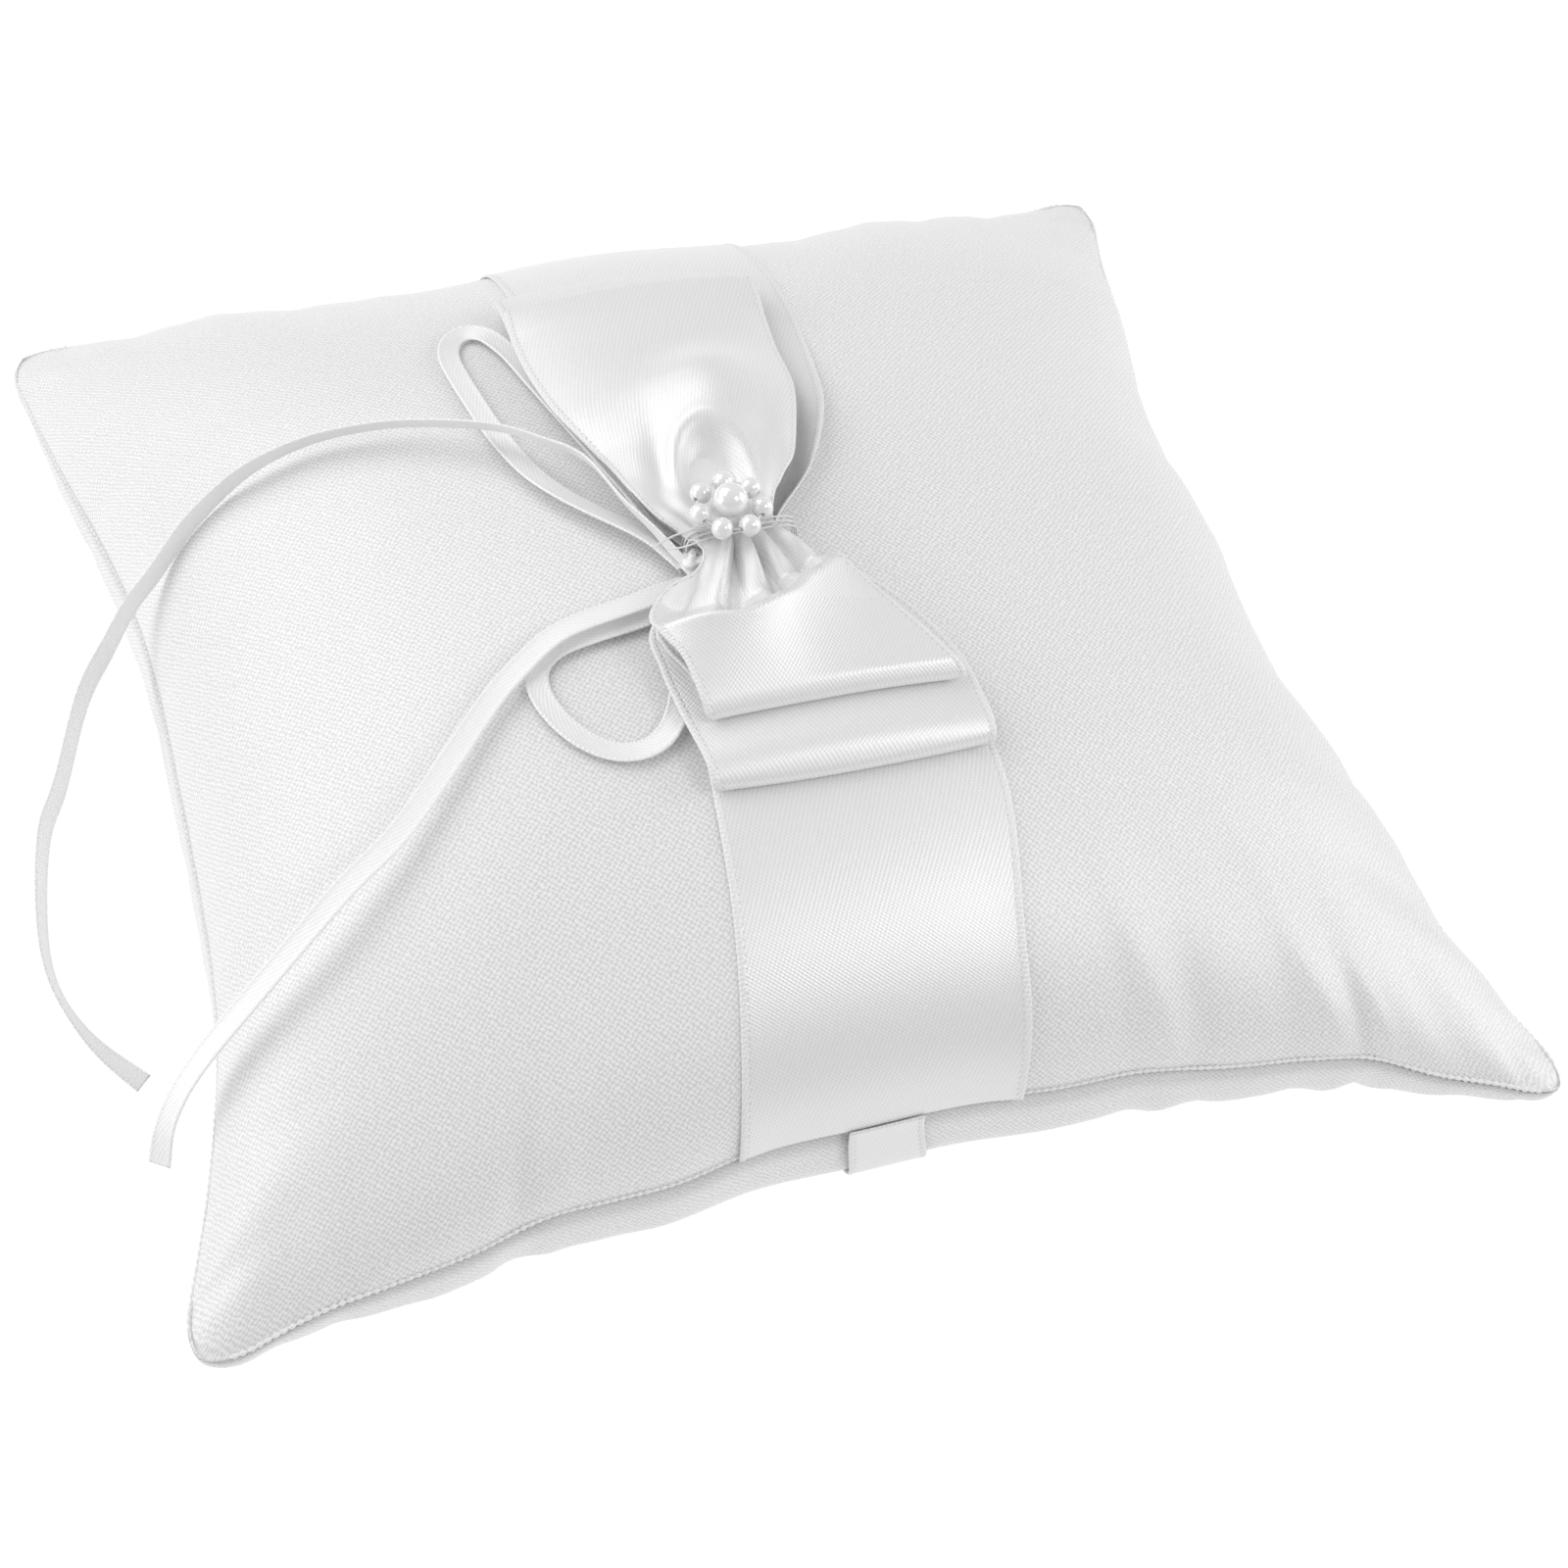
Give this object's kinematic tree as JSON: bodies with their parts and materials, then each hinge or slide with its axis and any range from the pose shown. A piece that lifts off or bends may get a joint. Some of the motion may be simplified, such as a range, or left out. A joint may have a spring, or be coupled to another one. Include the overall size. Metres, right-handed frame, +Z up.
{
  "type": "ring bearer pillow",
  "caption": "Square white satin ring bearer cushion with a wide ribbon, a pinched bow, a pearl flower, a narrow ribbon tied to hold rings, and a hand strap underneath.",
  "frame": {"origin": "under the middle of the cushion, on the surface it rests on", "axes": "+Z up; the wide ribbon runs along Y, with the bow's short near loops towards -Y; +X to the right of someone looking along +Y"},
  "size_m": [0.189, 0.1769, 0.0754],
  "materials": {
    "cover_satin": "satin",
    "ribbon_satin": "satin",
    "fibre": "matte",
    "thread": "satin",
    "pearl": "gloss"
  },
  "bodies": {
    "root": {"top_panel": "cover_satin", "bottom_panel": "cover_satin", "fibre_filling": "fibre", "seam_thread_front": "thread", "seam_thread_right": "thread", "seam_thread_back": "thread", "seam_thread_left": "thread", "wide_ribbon": "ribbon_satin", "bow_lower_ribbon": "ribbon_satin", "bow_upper_ribbon": "ribbon_satin", "hand_strap": "ribbon_satin", "tie_ribbon_knot": "ribbon_satin", "tie_ribbon_back_tail": "ribbon_satin", "tie_ribbon_back_loop": "ribbon_satin", "tie_ribbon_front_tail": "ribbon_satin", "tie_ribbon_front_loop": "ribbon_satin", "gather_thread": "thread", "tack_thread": "thread", "bead_thread": "thread", "centre_pearl": "pearl", "petal_pearl_1": "pearl", "petal_pearl_2": "pearl", "petal_pearl_3": "pearl", "petal_pearl_4": "pearl", "petal_pearl_5": "pearl", "petal_pearl_6": "pearl", "petal_pearl_7": "pearl"}
  },
  "joints": []
}
